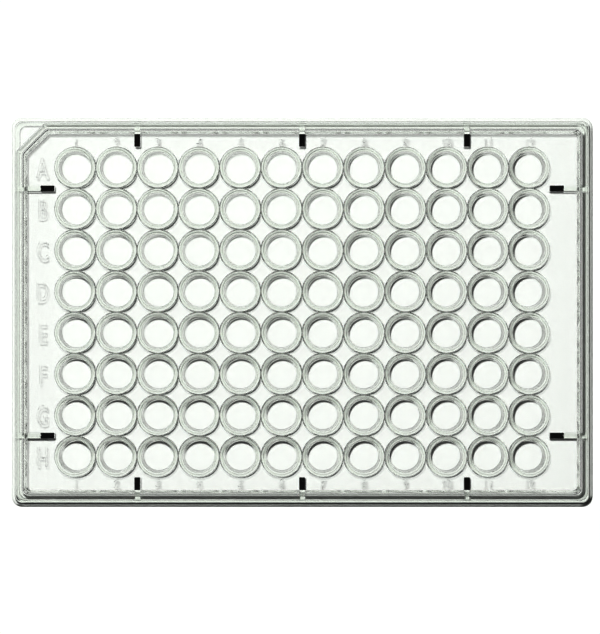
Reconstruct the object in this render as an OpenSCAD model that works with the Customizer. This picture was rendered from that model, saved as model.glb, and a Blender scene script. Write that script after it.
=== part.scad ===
// Flat-bottom well plate, moulded in one piece from clear polystyrene.
// The origin is the centre of the footprint, on the surface the plate stands on.
// +X runs from column 1 to the last column, +Y from the last row to row A, +Z up.

/* [Plate] */
// Length of the base, along a row of wells
plate_l = 127.76; // [124:0.02:136]
// Width of the base, along a column of wells
plate_w = 85.48; // [82:0.02:94]
// Height of the plate, from its foot to the top of its rim
plate_h = 14.35; // [13.6:0.05:20]
// Radius of the outer corners of the base
corner_r = 2.2; // [2:0.1:4]
// Thickness of the walls of the skirt and the base
wall = 1.0; // [0.8:0.05:1.2]

/* [Skirt] */
// Height of the flange around the foot
flange_h = 2.4; // [1.8:0.1:3.2]
// How far the flange stands out from the lower skirt
flange_step = 0.9; // [0.5:0.05:1.2]
// Height of the ledge that the edge of a lid rests on
ledge_h = 7.4; // [6:0.1:8.5]
// Width of that ledge, from the lower skirt to the upper one
ledge_w = 0.7; // [0.4:0.05:1]
// Length cut off each side of the upper skirt at the corner next to well A1
a1_leg = 6.0; // [3:0.1:7]

/* [Rim and deck] */
// Width of the top of the rim
rim_w = 1.75; // [1.4:0.05:2.2]
// Depth of the deck below the top of the rim
deck_drop = 1.75; // [1.2:0.05:2.2]
// Thickness of the deck between the wells
deck_t = 1.3; // [1:0.05:1.8]
// Lean of the inner face of the rim, in degrees from upright
rim_lean = 18; // [5:1:25]
// Smallest radius of the upright corners of the skirt, the rim and the underside
inner_r = 1.6; // [0.6:0.1:1.8]

/* [Wells] */
// Number of columns of wells
columns = 12; // [10:1:12]
// Number of rows of wells
rows = 8; // [6:1:8]
// Distance from one well's centre to the next
pitch = 9.0; // [8.7:0.05:9.2]
// Diameter of a well at its mouth
well_top_d = 6.96; // [6.6:0.02:7]
// Diameter of a well at its floor
well_floor_d = 6.6; // [6.2:0.02:6.7]
// Depth of a well, from its mouth to its floor
well_depth = 10.7; // [10:0.05:11.2]
// Thickness of a well's floor
floor_t = 1.2; // [0.8:0.05:1.4]
// Mean thickness of a well's wall
well_wall = 0.75; // [0.6:0.01:0.8]
// Height of the collar around each mouth, above the deck
collar_h = 1.4; // [0.6:0.05:1.6]
// How far neighbouring collars run into each other
collar_merge = 0.06; // [0.04:0.01:0.2]
// Width and depth of the bevel inside each mouth
mouth_bevel = 0.2; // [0.1:0.05:0.4]

/* [Ribs] */
// Thickness of the ribs under the deck
rib_t = 1.2; // [0.8:0.1:1.6]
// Height of a rib's lower end above the foot
rib_foot = 3.0; // [2.6:0.1:5]
// Gap between the end of a rib and the line along the outermost wells
rib_gap = 0.5; // [0.2:0.1:1]
// Length of the sloping cut at the lower end of each rib
rib_cut = 3.0; // [1:0.1:4]

/* [Hidden] */
$fn = 64;
eps = 0.05;
lower_inset = flange_step;
upper_inset = lower_inset + ledge_w;
rim_inset = upper_inset + rim_w;
deck_z = plate_h - deck_drop;
deck_inset = rim_inset + deck_drop * tan(rim_lean);
mouth_z = deck_z + collar_h;
floor_z = mouth_z - well_depth;
collar_d = pitch + collar_merge;
tube_d = (well_top_d + well_floor_d) / 2 + 2 * well_wall;
// Columns and rows after which a rib stands
rib_columns = [2, columns / 2, columns - 2];
rib_rows = [1, rows - 1];

function column_x(c) = (c - (columns - 1) / 2) * pitch;
function row_y(r) = ((rows - 1) / 2 - r) * pitch;

// Distance from the origin to the slanting wall by well A1, for a wall that lies
// inset from the base. All such walls run parallel to the upper skirt's.
function a1_distance(inset) =
    (plate_l / 2 + plate_w / 2 - 2 * upper_inset - a1_leg) / sqrt(2) - (inset - upper_inset);

// A rectangle with rounded corners
module rounded_rectangle(l, w, r) {
    square([l - 2 * r, w], center = true);
    square([l, w - 2 * r], center = true);
    for (x = [-1, 1], y = [-1, 1])
        translate([x * (l / 2 - r), y * (w / 2 - r)]) circle(r);
}

// The plan of the plate at some distance inside the base's outline
module outline(inset, slanted = false) {
    difference() {
        rounded_rectangle(
            plate_l - 2 * inset, plate_w - 2 * inset, max(corner_r - inset, inner_r)
        );
        if (slanted)
            rotate(135) translate([a1_distance(inset), -plate_l / 2]) square(plate_l);
    }
}

// A block with that plan between two heights
module slab(z0, z1, inset, slanted = false) {
    translate([0, 0, z0]) linear_extrude(z1 - z0) outline(inset, slanted);
}

// Places a child at the centre of every well
module each_well() {
    for (c = [0 : columns - 1], r = [0 : rows - 1])
        translate([column_x(c), row_y(r)]) children();
}

// The outer steps: flange, lower skirt and upper skirt
module shell() {
    slab(0, flange_h, 0);
    slab(0, ledge_h, lower_inset);
    slab(0, plate_h, upper_inset, slanted = true);
}

// The open underside, one wall inside each of the outer steps
module underside() {
    slab(-eps, flange_h - wall, wall);
    slab(-eps, ledge_h - wall, lower_inset + wall);
    slab(-eps, deck_z - deck_t, upper_inset + wall, slanted = true);
}

// The shallow recess above the deck, with leaning sides
module recess() {
    intersection() {
        slab(deck_z, plate_h + eps, rim_inset, slanted = true);
        intersection_for (side = [
            [0, plate_l / 2 - deck_inset],
            [90, plate_w / 2 - deck_inset],
            [135, a1_distance(deck_inset)],
            [180, plate_l / 2 - deck_inset],
            [270, plate_w / 2 - deck_inset]
        ])
            rotate(side[0]) translate([side[1], 0, deck_z]) rotate([0, rim_lean, 0])
                translate([-plate_l, 0, 0]) cube(2 * plate_l, center = true);
    }
}

// The tubes below the deck, one around each well. They are straight on the outside.
module tubes() {
    tube_z = floor_z - floor_t;
    each_well() translate([0, 0, tube_z]) cylinder(h = deck_z - tube_z, d = tube_d);
}

// The raised collars around the mouths, which run into each other
module collars() {
    translate([0, 0, deck_z - eps]) linear_extrude(collar_h + eps)
        each_well() circle(d = collar_d);
}

// The inside of every well: a tapered bore that opens into the bevel at its mouth
module bores() {
    bevel_r = well_top_d / 2 - (well_top_d - well_floor_d) / 2 * mouth_bevel / well_depth;
    each_well() rotate_extrude() polygon([
        [0, floor_z],
        [well_floor_d / 2, floor_z],
        [bevel_r, mouth_z - mouth_bevel],
        [bevel_r + mouth_bevel + eps, mouth_z + eps],
        [0, mouth_z + eps]
    ]);
}

// One rib, hanging from the deck between the skirt and the line at distance stop
// from the origin. half is half the base's size in that direction. Its outer end
// is rooted in both steps of the skirt, and its lower inner corner is cut off.
module rib(half, stop) {
    rib_top = deck_z - deck_t + eps;
    ledge_z = ledge_h - wall / 2;
    rotate([90, 0, 0]) linear_extrude(rib_t, center = true) polygon([
        [stop, rib_top],
        [stop, rib_foot + rib_cut],
        [stop + rib_cut, rib_foot],
        [half - lower_inset - wall / 2, rib_foot],
        [half - lower_inset - wall / 2, ledge_z],
        [half - upper_inset - wall / 2, ledge_z],
        [half - upper_inset - wall / 2, rib_top]
    ]);
}

// The ribs that tie the skirt to the deck on all four sides
module ribs() {
    clear_r = tube_d / 2 + rib_gap;
    for (side = [0, 180], n = rib_rows)
        rotate(side) translate([0, row_y(n - 0.5), 0])
            rib(plate_l / 2, column_x(columns - 1) + clear_r);
    for (side = [90, 270], n = rib_columns)
        rotate(side) translate([0, column_x(n - 0.5), 0])
            rib(plate_w / 2, row_y(0) + clear_r);
}

module well_plate() {
    color([0.9, 0.95, 0.91, 0.45]) difference() {
        union() {
            difference() {
                shell();
                underside();
                recess();
            }
            tubes();
            collars();
            ribs();
        }
        bores();
    }
}

well_plate();
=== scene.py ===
"""The well plate's looks: one clear moulded mesh with rounded edges, ribs and raised
grid marks, seen from straight above on a pale table, under one lamp in a dark room."""

import math

import bmesh
import bpy
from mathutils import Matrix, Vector
from mathutils.geometry import delaunay_2d_cdt


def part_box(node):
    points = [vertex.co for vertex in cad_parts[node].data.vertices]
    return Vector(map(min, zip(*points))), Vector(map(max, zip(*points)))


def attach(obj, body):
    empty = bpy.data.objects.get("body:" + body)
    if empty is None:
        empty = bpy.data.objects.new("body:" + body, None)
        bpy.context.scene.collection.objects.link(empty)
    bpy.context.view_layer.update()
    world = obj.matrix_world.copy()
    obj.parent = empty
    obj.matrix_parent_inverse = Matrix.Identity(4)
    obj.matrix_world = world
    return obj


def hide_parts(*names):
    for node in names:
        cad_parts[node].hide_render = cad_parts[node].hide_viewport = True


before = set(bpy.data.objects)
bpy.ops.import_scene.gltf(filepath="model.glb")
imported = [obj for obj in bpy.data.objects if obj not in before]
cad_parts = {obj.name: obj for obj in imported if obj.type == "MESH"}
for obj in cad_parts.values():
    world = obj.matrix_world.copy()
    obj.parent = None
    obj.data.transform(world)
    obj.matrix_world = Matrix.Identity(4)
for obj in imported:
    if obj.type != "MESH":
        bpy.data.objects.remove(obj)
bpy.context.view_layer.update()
plate_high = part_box("well_plate")[1]

MM = 0.001
PI = math.pi
TINY = 1e-6

# ---------------------------------------------------------------- sizes, in mm
HALF_L = plate_high.x / MM
HALF_W = plate_high.y / MM
PLATE_H = plate_high.z / MM
WALL = 1.0

FLANGE_H = 2.4
LEDGE_H = 7.4
LOWER_INSET = 0.9
UPPER_INSET = 1.6
RIM_INSET = UPPER_INSET + 1.75
A1_LEG = 6.0
# Corner radii of the base, of the walls and the rim, of the deck, and at the slanting wall
CORNER_R = 2.2
INNER_R = 1.6
DECK_CORNER_R = 0.6
SLANT_CORNER_R = 0.8

DECK_DROP = 1.75
DECK_T = 1.3
DECK_Z = PLATE_H - DECK_DROP
UNDER_Z = DECK_Z - DECK_T
# Sideways lean of the rim's inner face for each millimetre of its height
RIM_SLOPE = math.tan(math.radians(18))
DECK_INSET = RIM_INSET + DECK_DROP * RIM_SLOPE

COLUMNS = 12
ROWS = 8
PITCH = 9.0
# A collar leans by the draft of its mould, from its foot to its upper edge
COLLAR_FOOT_R = 4.6
COLLAR_R = 4.43
COLLAR_H = 1.4
MOUTH_Z = DECK_Z + COLLAR_H
MOUTH_R = 3.48
FLOOR_R = 3.3
WELL_DEPTH = 10.7
FLOOR_T = 1.2
WELL_WALL = 0.75
FLOOR_Z = MOUTH_Z - WELL_DEPTH
TUBE_Z = FLOOR_Z - FLOOR_T
TUBE_R = (MOUTH_R + FLOOR_R) / 2 + WELL_WALL

RIB_T = 1.2
RIB_FOOT = 3.0
RIB_GAP = 0.5
RIB_CUT = 3.0
# The cut at a rib's lower end rises a little less than the solid's, which is at 45 degrees.
# So it mirrors the dark room from above, and not the table beside the plate.
RIB_CUT_RISE = 2.7
# How deep a rib's top is rooted in the deck
RIB_ROOT = 0.05
# Columns and rows after which a rib stands
RIB_COLUMNS = (2, COLUMNS // 2, COLUMNS - 2)
RIB_ROWS = (1, ROWS - 1)

# Raised letters and numbers on the deck
LETTER_X = -56.7
LETTER_H = 4.2
LETTER_SQUEEZE = 0.62
NUMBER_YS = (-37.4, 37.2)
NUMBER_H = 2.0
NUMBER_SQUEEZE = 0.85
MARK_RELIEF = 0.2
LETTER_BEVEL = 0.13
NUMBER_BEVEL = 0.09
MARK_WELD = 0.01
MARK_CURVE_STEPS = 3
# Height of the font's capitals as a share of its size
FONT_CAP = 0.7

# Radii of the small rounds that a mould leaves along its edges
EDGE_R = 0.25
FLOOR_EDGE_R = 0.08
MOUTH_EDGE_R = 0.15
COLLAR_EDGE_R = 0.15
UNDER_EDGE_R = 0.9
RIB_EDGE_R = 0.5

# Steps in the small rounds of a well, the plate's outer edges and the rounds underneath
WELL_STEPS = 2
EDGE_STEPS = 3
UNDER_STEPS = 4
# Steps round an upright corner, and round each corner of the slanting wall
CORNER_STEPS = 6
SLANT_STEPS = CORNER_STEPS // 2
# Around a well: steps between the places where neighbouring collars cross
QUARTER_STEPS = 8
# How far the ring of deck that belongs to the outermost wells reaches
OUTER_REACH = 5.0

# Edges that turn by more than this many degrees stay sharp
SHARP_ANGLE = 40
# The strongest weight that large flat faces can have in the shading
FLAT_WEIGHT = 100
# Points that agree to this many decimals of a millimetre are one vertex
POINT_DIGITS = 3

# ---------------------------------------------------------------- looks
IOR = 1.59
TINT = (0.25, 0.5, 0.15, 1)
TINT_DENSITY = 5
# Painted shade: the glass's colour darkens on faces seen nearly edge on, which bend light aside
PAINTED_SHADE_BEGINS = 0.7
PAINTED_SHADE_FULL = 0.95
PAINTED_SHADE_COLOUR = (0.1, 0.13, 0.11, 1)
# A lamp's light is bent away from its line where it meets a slanting face. This is the
# power of the cosine by which what goes straight on falls off where light meets the
# plastic, and the share that an upright wall still takes in and leads down to the table.
# What is inside the plastic goes on past upright faces, and less so past slanting ones.
BEND_POWER = 4
WALL_TAKES = 0.14
# Faint waves in the moulded faces, in metres, and how many of them there are in a metre
WAVE_HEIGHT = 5e-7
WAVE_SCALE = 220
WAVE_DETAIL = 1

# Metres and watts from here on, apart from FLOOR_GAP, AIM and VIEW_WIDTH, which are in mm
FLOOR_HALF = 6.0
FLOOR_WHITE = 0.9
KEY_HEIGHT = 1.3
KEY_LEAN = (-0.0232, 0.0449)
KEY_SIZE = 0.03
KEY_POWER = 19
KEY_COLOUR = (0.985, 1, 0.98)
ROOM = 0.05
BACKDROP = 0.95
# How bright the table is made where the lamp no longer reaches
TABLE_LIGHT = 0.9
# The plate stands this far above the table, in mm, so that no two faces coincide
FLOOR_GAP = 0.1
LIGHT_BOUNCES = 24
CLEAR_BOUNCES = 64
# Below 1, the picture's mid-tones get darker
CONTRAST_GAMMA = 0.44

CAMERA_HEIGHT = 1.244
AIM = (-0.46, -1.08)
# Width of the picture at the height of the wells' mouths
VIEW_WIDTH = 130.8


def column_x(column):
    return (column - (COLUMNS - 1) / 2) * PITCH


def row_y(row):
    return ((ROWS - 1) / 2 - row) * PITCH


def quarter_round(steps):
    """Pairs (sine, cosine) from 0 to 90 degrees."""
    return [(math.sin(PI / 2 * k / steps), math.cos(PI / 2 * k / steps)) for k in range(steps + 1)]


def link(name, data):
    made = bpy.data.objects.new(name, data)
    bpy.context.scene.collection.objects.link(made)
    return made


class Shell:
    """Collects faces given in millimetres. Points that coincide become one vertex."""

    def __init__(self):
        self.bm = bmesh.new()
        self.known = {}

    def vert(self, point):
        key = tuple(round(c, POINT_DIGITS) for c in point)
        if key not in self.known:
            self.known[key] = self.bm.verts.new([c * MM for c in point])
        return self.known[key]

    def face(self, points):
        verts = []
        for v in map(self.vert, points):
            if v not in verts:
                verts.append(v)
        if len(verts) > 2 and self.bm.faces.get(verts) is None:
            self.bm.faces.new(verts)

    def bridge(self, loop_a, loop_b):
        for k in range(len(loop_a)):
            j = (k + 1) % len(loop_a)
            self.face([loop_a[k], loop_a[j], loop_b[j], loop_b[k]])

    def annulus(self, outer, inner, z):
        """Fills the flat region between two closed outlines with triangles."""
        points = [Vector(p) for p in outer + inner]
        n = len(outer)
        edges = [(k, (k + 1) % n) for k in range(n)]
        edges += [(n + k, n + (k + 1) % len(inner)) for k in range(len(inner))]
        verts, _, faces, _, _, _ = delaunay_2d_cdt(points, edges, [], 1, TINY)
        low = [min(p[i] for p in inner) for i in (0, 1)]
        high = [max(p[i] for p in inner) for i in (0, 1)]
        for f in faces:
            middle = sum((verts[k] for k in f), Vector((0, 0))) / len(f)
            if not all(low[i] < middle[i] < high[i] for i in (0, 1)):
                self.face([(verts[k].x, verts[k].y, z) for k in f])

    def object(self, name):
        bmesh.ops.recalc_face_normals(self.bm, faces=self.bm.faces)
        mesh = bpy.data.meshes.new(name)
        self.bm.to_mesh(mesh)
        self.bm.free()
        return link(name, mesh)


# ---------------------------------------------------------------- wells
CROSSING = math.acos(PITCH / 2 / COLLAR_FOOT_R)
FREE_ARC = PI / 2 - 2 * CROSSING
QUARTER = [0, CROSSING / 2]
QUARTER += [CROSSING + FREE_ARC * k / QUARTER_STEPS for k in range(QUARTER_STEPS + 1)]
QUARTER += [PI / 2 - CROSSING / 2]
ANGLES = [q * PI / 2 + a for q in range(4) for a in QUARTER]


def collar_side(r):
    """Height of the collar's leaning side at a radius."""
    return DECK_Z + (COLLAR_H - COLLAR_EDGE_R) * (COLLAR_FOOT_R - r) / (COLLAR_FOOT_R - COLLAR_R)


def well_profile():
    """(radius, height) from the edge of a well's floor up its wall and over its collar."""
    points = [
        (FLOOR_R - FLOOR_EDGE_R * (1 - s), FLOOR_Z + FLOOR_EDGE_R * (1 - c))
        for s, c in quarter_round(WELL_STEPS)
    ]
    points += [
        (MOUTH_R + MOUTH_EDGE_R * (1 - c), MOUTH_Z - MOUTH_EDGE_R * (1 - s))
        for s, c in quarter_round(WELL_STEPS)
    ]
    points += [
        (COLLAR_R - COLLAR_EDGE_R * (1 - s), MOUTH_Z - COLLAR_EDGE_R * (1 - c))
        for s, c in quarter_round(WELL_STEPS)
    ]
    return points + [(COLLAR_FOOT_R, DECK_Z)]


def tube_profile():
    """(radius, height) from the edge of a tube's flat end up to the deck's underside."""
    points = [
        (TUBE_R - FLOOR_EDGE_R * (1 - s), TUBE_Z + FLOOR_EDGE_R * (1 - c))
        for s, c in quarter_round(WELL_STEPS)
    ]
    points += [
        (TUBE_R + EDGE_R * (1 - c), UNDER_Z - EDGE_R * (1 - s))
        for s, c in quarter_round(WELL_STEPS)
    ]
    return points


def cell_sides(column, row):
    """How far a well's piece of deck reaches in +X, +Y, -X and -Y."""
    ends = (column == COLUMNS - 1, row == 0, column == 0, row == ROWS - 1)
    return [OUTER_REACH if end else PITCH / 2 for end in ends]


def reach(sides, angle):
    """Distance from a well's axis to the edge of its piece of deck."""
    found = []
    for axis, side in enumerate(sides):
        along = math.cos(angle - axis * PI / 2)
        if along > TINY:
            found.append(side / along)
    return min(found)


def ring(centre, sides, radius, height):
    """Points around a well, stopped at the edge of its piece of deck."""
    points = []
    for a in ANGLES:
        limit = reach(sides, a)
        r, z = (radius, height) if radius <= limit + TINY else (limit, collar_side(limit))
        points.append((centre[0] + r * math.cos(a), centre[1] + r * math.sin(a), z))
    return points


def corner_fill(shell, centre, sides, radius, z, shared):
    """The flat pieces between a circle round a well and the corners of its cell."""
    n = len(QUARTER)
    for q in range(4):
        here, there = sides[q], sides[(q + 1) % 4]
        skip_here = shared and here < radius
        skip_there = shared and there < radius
        angles = [ANGLES[(q * n + k) % len(ANGLES)] for k in range(n + 1)]
        angles = angles[2 if skip_here else 0 : n - 1 if skip_there else n + 1]
        flat = [(radius * math.cos(a), radius * math.sin(a)) for a in angles]
        turn = q * PI / 2
        along, across = (math.cos(turn), math.sin(turn)), (-math.sin(turn), math.cos(turn))
        if not skip_there:
            flat.append((there * across[0], there * across[1]))
        flat.append(tuple(here * along[i] + there * across[i] for i in (0, 1)))
        if not skip_here:
            flat.append((here * along[0], here * along[1]))
        shell.face([(centre[0] + x, centre[1] + y, z) for x, y in flat])


def add_well(shell, column, row):
    centre = (column_x(column), row_y(row))
    sides = cell_sides(column, row)
    rings = [ring(centre, sides, r, z) for r, z in well_profile()]
    shell.face(rings[0])
    for low, high in zip(rings, rings[1:]):
        shell.bridge(low, high)
    corner_fill(shell, centre, sides, COLLAR_FOOT_R, DECK_Z, shared=True)

    free = [2 * OUTER_REACH] * 4
    rings = [ring(centre, free, r, z) for r, z in tube_profile()]
    shell.face(rings[0])
    for low, high in zip(rings, rings[1:]):
        shell.bridge(low, high)
    corner_fill(shell, centre, sides, TUBE_R + EDGE_R, UNDER_Z, shared=False)


def grid_outline():
    """The outline of all the wells' cells together, with every vertex that the cells have."""
    half_x = column_x(COLUMNS - 1) + OUTER_REACH
    half_y = row_y(0) + OUTER_REACH
    xs = sorted(
        {column_x(c) for c in range(COLUMNS)}
        | {column_x(c) + PITCH / 2 for c in range(COLUMNS - 1)}
    )
    ys = sorted({row_y(r) for r in range(ROWS)} | {row_y(r) - PITCH / 2 for r in range(ROWS - 1)})
    points = [(x, -half_y) for x in [-half_x] + xs]
    points += [(half_x, y) for y in [-half_y] + ys]
    points += [(x, half_y) for x in [half_x] + xs[::-1]]
    points += [(-half_x, y) for y in [half_y] + ys[::-1]]
    return points


# ---------------------------------------------------------------- walls
def a1_offset(inset):
    """x and y of the slanting wall by well A1 add up to this, with x counted towards -X."""
    return HALF_L + HALF_W - 2 * UPPER_INSET - A1_LEG - math.sqrt(2) * (inset - UPPER_INSET)


def arc(corner, start, turn, radius, steps):
    """Points of a round that replaces a corner where the outline turns left."""
    d = (math.cos(start), math.sin(start))
    back = radius * math.tan(turn / 2)
    cx = corner[0] - back * d[0] - radius * d[1]
    cy = corner[1] - back * d[1] + radius * d[0]
    angles = [start - PI / 2 + turn * k / steps for k in range(steps + 1)]
    return [(cx + radius * math.cos(a), cy + radius * math.sin(a)) for a in angles]


def outline(inset, radius, slanted):
    """The plate's plan at some distance inside the base's outline, always with as many points."""
    x, y = HALF_L - inset, HALF_W - inset
    points = arc((x, -y), 0, PI / 2, radius, CORNER_STEPS)
    points += arc((x, y), PI / 2, PI / 2, radius, CORNER_STEPS)
    if slanted:
        offset = a1_offset(inset)
        points += arc((y - offset, y), PI, PI / 4, SLANT_CORNER_R, SLANT_STEPS)
        points += arc((-x, offset - x), PI * 5 / 4, PI / 4, SLANT_CORNER_R, SLANT_STEPS)
    else:
        whole = arc((-x, y), PI, PI / 2, radius, CORNER_STEPS)
        points += whole[: SLANT_STEPS + 1] + whole[SLANT_STEPS:]
    return points + arc((-x, -y), PI * 3 / 2, PI / 2, radius, CORNER_STEPS)


def outer_edge(inset, top, radius, slanted):
    """The rounded upper edge of one of the plate's outer steps."""
    return [
        (inset + EDGE_R * (1 - s), top - EDGE_R * (1 - c), radius, slanted)
        for s, c in quarter_round(EDGE_STEPS)
    ]


def wall_profile():
    """(inset, height, corner radius, slanted), from the deck over the rim to the underside."""
    steps = [(DECK_INSET, DECK_Z, DECK_CORNER_R, True)]
    for s, c in quarter_round(EDGE_STEPS):
        inset = RIM_INSET + EDGE_R * (RIM_SLOPE - 1 + c)
        steps.append((inset, PLATE_H - EDGE_R * (1 - s), INNER_R, True))
    steps += outer_edge(UPPER_INSET, PLATE_H, INNER_R, True)
    steps.append((UPPER_INSET, LEDGE_H, INNER_R, True))
    steps += outer_edge(LOWER_INSET, LEDGE_H, INNER_R, False)
    steps.append((LOWER_INSET, FLANGE_H, INNER_R, False))
    steps += outer_edge(0, FLANGE_H, CORNER_R, False)
    steps += [(0, 0, CORNER_R, False), (WALL, 0, INNER_R, False)]
    steps += [(WALL, FLANGE_H - WALL, INNER_R, False)]
    steps += [(LOWER_INSET + WALL, FLANGE_H - WALL, INNER_R, False)]
    steps += [(LOWER_INSET + WALL, LEDGE_H - WALL, INNER_R, False)]
    steps += [(UPPER_INSET + WALL, LEDGE_H - WALL, INNER_R, True)]
    for s, c in quarter_round(UNDER_STEPS):
        inset = UPPER_INSET + WALL + UNDER_EDGE_R * (1 - c)
        steps.append((inset, UNDER_Z - UNDER_EDGE_R * (1 - s), INNER_R, True))
    return steps


def plate_shell():
    shell = Shell()
    for column in range(COLUMNS):
        for row in range(ROWS):
            add_well(shell, column, row)
    loops = []
    for inset, z, radius, slanted in wall_profile():
        loops.append([(x, y, z) for x, y in outline(inset, radius, slanted)])
    for inner, outer in zip(loops, loops[1:]):
        shell.bridge(inner, outer)
    grid = grid_outline()
    for loop, z in ((loops[0], DECK_Z), (loops[-1], UNDER_Z)):
        flat = [(x, y) for x, y, _ in loop]
        shell.annulus(flat, grid, z)
    return shell.object("clear_plate")


# ---------------------------------------------------------------- ribs
def rib_outline(half, stop):
    """(distance from the origin, height) around one rib, stepped where it meets the skirt."""
    lower = half - LOWER_INSET - WALL / 2
    upper = half - UPPER_INSET - WALL / 2
    ledge = LEDGE_H - WALL / 2
    top = UNDER_Z + RIB_ROOT
    return [
        (stop, top),
        (stop, RIB_FOOT + RIB_CUT_RISE),
        (stop + RIB_CUT, RIB_FOOT),
        (lower, RIB_FOOT),
        (lower, ledge),
        (upper, ledge),
        (upper, top),
    ]


def add_rib(shell, half, stop, across, side):
    """One rib that points along the given side, set off sideways by across. The lower edges
    of its two faces are rounded."""
    c, s = math.cos(side), math.sin(side)
    faces = []
    for edge in (across - RIB_T / 2, across + RIB_T / 2):
        faces.append([(u * c - edge * s, u * s + edge * c, z) for u, z in rib_outline(half, stop)])
    shell.face(faces[0])
    shell.face(faces[1][::-1])
    shell.bridge(faces[0], faces[1])
    lower = [list(map(shell.vert, face[1:4])) for face in faces]
    edges = [shell.bm.edges.get(pair) for line in lower for pair in zip(line, line[1:])]
    bmesh.ops.bevel(
        shell.bm, geom=edges, offset=RIB_EDGE_R * MM, segments=UNDER_STEPS, affect="EDGES"
    )


def rib_shell():
    shell = Shell()
    clear = TUBE_R + RIB_GAP
    for side in (0, PI):
        for n in RIB_ROWS:
            add_rib(shell, HALF_L, column_x(COLUMNS - 1) + clear, row_y(n - 0.5), side)
    for side in (PI / 2, PI * 3 / 2):
        for n in RIB_COLUMNS:
            add_rib(shell, HALF_W, row_y(0) + clear, column_x(n - 0.5), side)
    return shell.object("ribs")


# ---------------------------------------------------------------- grid marks
def text_mark(body, x, y, cap_height, squeeze, bevel):
    """A raised letter or number of the grid, its lower half sunk in the deck."""
    curve = bpy.data.curves.new("mark", "FONT")
    curve.body = body
    curve.size = cap_height / FONT_CAP
    curve.align_x = "CENTER"
    curve.resolution_u = MARK_CURVE_STEPS
    curve.extrude = MARK_RELIEF - bevel
    curve.bevel_depth = bevel
    curve.bevel_resolution = 0
    made = link("mark", curve)
    bpy.context.view_layer.update()
    graph = bpy.context.evaluated_depsgraph_get()
    mesh = bpy.data.meshes.new_from_object(made.evaluated_get(graph))
    bpy.data.objects.remove(made)
    for v in mesh.vertices:
        v.co = (v.co.x * squeeze + x, v.co.y + y - cap_height / 2, v.co.z + DECK_Z)
        v.co *= MM
    return mesh


def marks():
    """A to H down the left of the deck, and the columns' numbers along its front and back."""
    bm = bmesh.new()
    letter = (LETTER_H, LETTER_SQUEEZE, LETTER_BEVEL)
    number = (NUMBER_H, NUMBER_SQUEEZE, NUMBER_BEVEL)
    for row in range(ROWS):
        bm.from_mesh(text_mark("ABCDEFGH"[row], LETTER_X, row_y(row), *letter))
    for column in range(COLUMNS):
        for y in NUMBER_YS:
            bm.from_mesh(text_mark(str(column + 1), column_x(column), y, *number))
    bmesh.ops.remove_doubles(bm, verts=bm.verts, dist=MARK_WELD * MM)
    bmesh.ops.recalc_face_normals(bm, faces=bm.faces)
    mesh = bpy.data.meshes.new("marks")
    bm.to_mesh(mesh)
    bm.free()
    return link("marks", mesh)


# ---------------------------------------------------------------- whole plate
def join(base, other):
    """Unites a solid with the plate, and keeps the result in the plate's mesh."""
    step = base.modifiers.new("join", "BOOLEAN")
    step.operation = "UNION"
    step.solver = "MANIFOLD"
    step.object = other
    apply_modifiers(base)
    bpy.data.objects.remove(other)


def apply_modifiers(piece):
    """Keeps the modified mesh, without the empty material slots that a join leaves in it."""
    bpy.context.view_layer.update()
    graph = bpy.context.evaluated_depsgraph_get()
    mesh = bpy.data.meshes.new_from_object(piece.evaluated_get(graph))
    mesh.materials.clear()
    piece.modifiers.clear()
    piece.data = mesh


def smooth(piece):
    """Rounds shade smoothly and large flat faces stay flat."""
    piece.data.shade_smooth()
    piece.data.set_sharp_from_angle(angle=math.radians(SHARP_ANGLE))
    weigh = piece.modifiers.new("normals", "WEIGHTED_NORMAL")
    weigh.mode = "FACE_AREA"
    weigh.weight = FLAT_WEIGHT
    weigh.keep_sharp = True
    apply_modifiers(piece)


def make_plate():
    plate = plate_shell()
    join(plate, rib_shell())
    join(plate, marks())
    smooth(plate)
    plate.data.materials.append(polystyrene())
    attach(plate, "root")
    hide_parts("well_plate")


# ---------------------------------------------------------------- material
def maths(tree, operation, *values):
    """The result of a Math node. Each value is a number or another node's output."""
    node = tree.nodes.new("ShaderNodeMath")
    node.operation = operation
    for socket, value in zip(node.inputs, values):
        if isinstance(value, (int, float)):
            socket.default_value = value
        else:
            tree.links.new(value, socket)
    return node.outputs[0]


def facing(tree):
    """0 where a ray meets a face squarely, 1 where it meets it edge on."""
    slant = tree.nodes.new("ShaderNodeLayerWeight")
    slant.inputs["Blend"].default_value = 0.5
    return slant.outputs["Facing"]


def glass(tree):
    """Clear plastic with a trace of waviness in its moulded faces, and painted shade on faces seen
    nearly edge on.
    """
    nodes, links = tree.nodes, tree.links
    shader = nodes["Principled BSDF"]
    shader.inputs["Roughness"].default_value = 0
    shader.inputs["Transmission Weight"].default_value = 1
    shader.inputs["IOR"].default_value = IOR
    place = nodes.new("ShaderNodeTexCoord")
    waves = nodes.new("ShaderNodeTexNoise")
    waves.inputs["Scale"].default_value = WAVE_SCALE
    waves.inputs["Detail"].default_value = WAVE_DETAIL
    relief = nodes.new("ShaderNodeBump")
    relief.inputs["Distance"].default_value = WAVE_HEIGHT
    links.new(place.outputs["Object"], waves.inputs["Vector"])
    links.new(waves.outputs["Fac"], relief.inputs["Height"])
    links.new(relief.outputs["Normal"], shader.inputs["Normal"])
    # Painted shade: the ramp darkens the glass's colour where a face is seen nearly edge on
    edge = nodes.new("ShaderNodeValToRGB")
    begins, full = edge.color_ramp.elements
    begins.position, begins.color = PAINTED_SHADE_BEGINS, (1, 1, 1, 1)
    full.position, full.color = PAINTED_SHADE_FULL, PAINTED_SHADE_COLOUR
    links.new(facing(tree), edge.inputs["Fac"])
    links.new(edge.outputs["Color"], shader.inputs["Base Color"])
    return shader.outputs[0]


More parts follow.
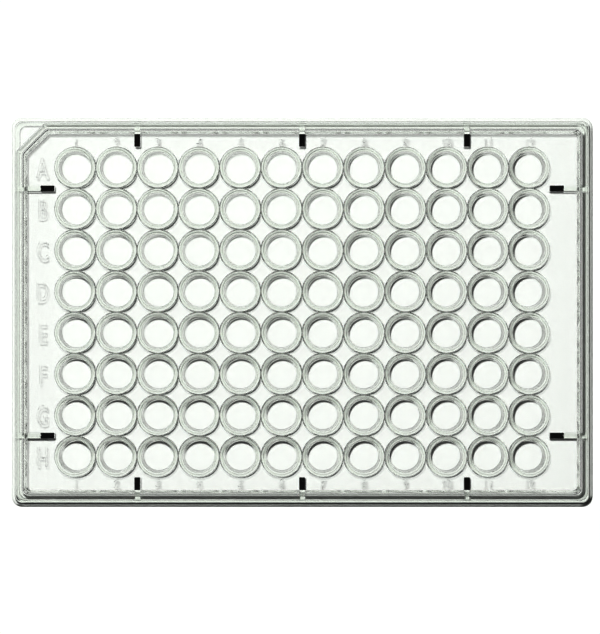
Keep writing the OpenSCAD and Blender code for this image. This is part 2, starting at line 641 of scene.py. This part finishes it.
def lamp_glass(tree):
    """What a lamp's light does on its way to the table. Level faces let it through. Upright
    faces turn away most of what comes from outside, and lead on what is inside them."""
    turned = facing(tree)
    straight = maths(tree, "POWER", maths(tree, "SUBTRACT", 1, turned), BEND_POWER)
    side = tree.nodes.new("ShaderNodeNewGeometry")
    guided = maths(tree, "MULTIPLY", turned, side.outputs["Backfacing"])
    led = maths(tree, "MAXIMUM", guided, WALL_TAKES)
    clear = tree.nodes.new("ShaderNodeBsdfTransparent")
    tree.links.new(maths(tree, "MAXIMUM", straight, led), clear.inputs["Color"])
    return clear.outputs[0]


def polystyrene():
    made = bpy.data.materials.new("clear_polystyrene")
    made.use_nodes = True
    tree = made.node_tree
    nodes, links = tree.nodes, tree.links
    path = nodes.new("ShaderNodeLightPath")
    both = nodes.new("ShaderNodeMixShader")
    links.new(path.outputs["Is Shadow Ray"], both.inputs[0])
    links.new(glass(tree), both.inputs[1])
    links.new(lamp_glass(tree), both.inputs[2])
    links.new(both.outputs[0], nodes["Material Output"].inputs["Surface"])
    tint = nodes.new("ShaderNodeVolumeAbsorption")
    tint.inputs["Color"].default_value = TINT
    tint.inputs["Density"].default_value = TINT_DENSITY
    links.new(tint.outputs[0], nodes["Material Output"].inputs["Volume"])
    return made


# ---------------------------------------------------------------- stage
def table_light(tree):
    """Makes up for the lamp's fall-off away from the plate, so that the table is evenly pale."""
    place = tree.nodes.new("ShaderNodeTexCoord")
    square = tree.nodes.new("ShaderNodeVectorMath")
    square.operation = "DOT_PRODUCT"
    tree.links.new(place.outputs["Object"], square.inputs[0])
    tree.links.new(place.outputs["Object"], square.inputs[1])
    far = maths(tree, "MULTIPLY_ADD", square.outputs["Value"], KEY_HEIGHT**-2, 1)
    lit = maths(tree, "POWER", far, -2)
    return maths(tree, "MULTIPLY_ADD", lit, -TABLE_LIGHT, TABLE_LIGHT)


def table_paper():
    """White and dull from above. A look from below passes through it."""
    paper = bpy.data.materials.new("white_table")
    paper.use_nodes = True
    tree = paper.node_tree
    nodes, links = tree.nodes, tree.links
    shader = nodes["Principled BSDF"]
    shader.inputs["Base Color"].default_value = (FLOOR_WHITE, FLOOR_WHITE, FLOOR_WHITE, 1)
    shader.inputs["Roughness"].default_value = 1
    shader.inputs["Specular IOR Level"].default_value = 0
    shader.inputs["Emission Color"].default_value = (1, 1, 1, 1)
    links.new(table_light(tree), shader.inputs["Emission Strength"])
    side = nodes.new("ShaderNodeNewGeometry")
    open_below = nodes.new("ShaderNodeMixShader")
    links.new(side.outputs["Backfacing"], open_below.inputs[0])
    links.new(shader.outputs[0], open_below.inputs[1])
    links.new(nodes.new("ShaderNodeBsdfTransparent").outputs[0], open_below.inputs[2])
    links.new(open_below.outputs[0], nodes["Material Output"].inputs["Surface"])
    return paper


def make_floor():
    """The table that the plate stands on."""
    h = FLOOR_HALF
    mesh = bpy.data.meshes.new("floor")
    corners = [(-h, -h, 0), (h, -h, 0), (h, h, 0), (-h, h, 0)]
    mesh.from_pydata(corners, [], [(0, 1, 2, 3)])
    floor = link("floor", mesh)
    floor.location.z = -FLOOR_GAP * MM
    mesh.materials.append(table_paper())


def make_room():
    """A pale backdrop behind the table. What the plate bends aside or mirrors is darker."""
    world = bpy.data.worlds.new("studio")
    bpy.context.scene.world = world
    world.use_nodes = True
    nodes = world.node_tree.nodes
    links = world.node_tree.links
    path = nodes.new("ShaderNodeLightPath")
    level = nodes.new("ShaderNodeMapRange")
    level.inputs["To Min"].default_value = ROOM
    level.inputs["To Max"].default_value = BACKDROP
    air = nodes["Background"]
    air.inputs["Color"].default_value = (1, 1, 1, 1)
    links.new(path.outputs["Is Camera Ray"], level.inputs["Value"])
    links.new(level.outputs["Result"], air.inputs["Strength"])


def make_key():
    """The lamp over the table. The plate neither mirrors it nor lets it through twice."""
    lamp = bpy.data.lights.new("key", "AREA")
    lamp.shape = "DISK"
    lamp.size = KEY_SIZE
    lamp.energy = KEY_POWER
    lamp.color = KEY_COLOUR
    key = link("key", lamp)
    key.location = Vector((*KEY_LEAN, 1)) * KEY_HEIGHT
    key.rotation_euler = (-key.location).to_track_quat("-Z", "Y").to_euler()
    key.visible_glossy = False
    key.visible_transmission = False


def make_camera():
    """Straight above the plate."""
    camera = link("camera", bpy.data.cameras.new("camera"))
    camera.location = (AIM[0] * MM, AIM[1] * MM, CAMERA_HEIGHT)
    camera.data.sensor_fit = "HORIZONTAL"
    reach_down = CAMERA_HEIGHT - MOUTH_Z * MM
    camera.data.lens = camera.data.sensor_width * reach_down / (VIEW_WIDTH * MM)
    camera.data.clip_end = 3 * CAMERA_HEIGHT
    bpy.context.scene.camera = camera


def set_look():
    scene = bpy.context.scene
    scene.view_settings.view_transform = "Standard"
    scene.view_settings.gamma = CONTRAST_GAMMA
    scene.cycles.max_bounces = LIGHT_BOUNCES
    scene.cycles.transmission_bounces = LIGHT_BOUNCES
    scene.cycles.glossy_bounces = LIGHT_BOUNCES // 2
    scene.cycles.transparent_max_bounces = CLEAR_BOUNCES


make_camera()
make_room()
make_key()
make_floor()
set_look()
make_plate()
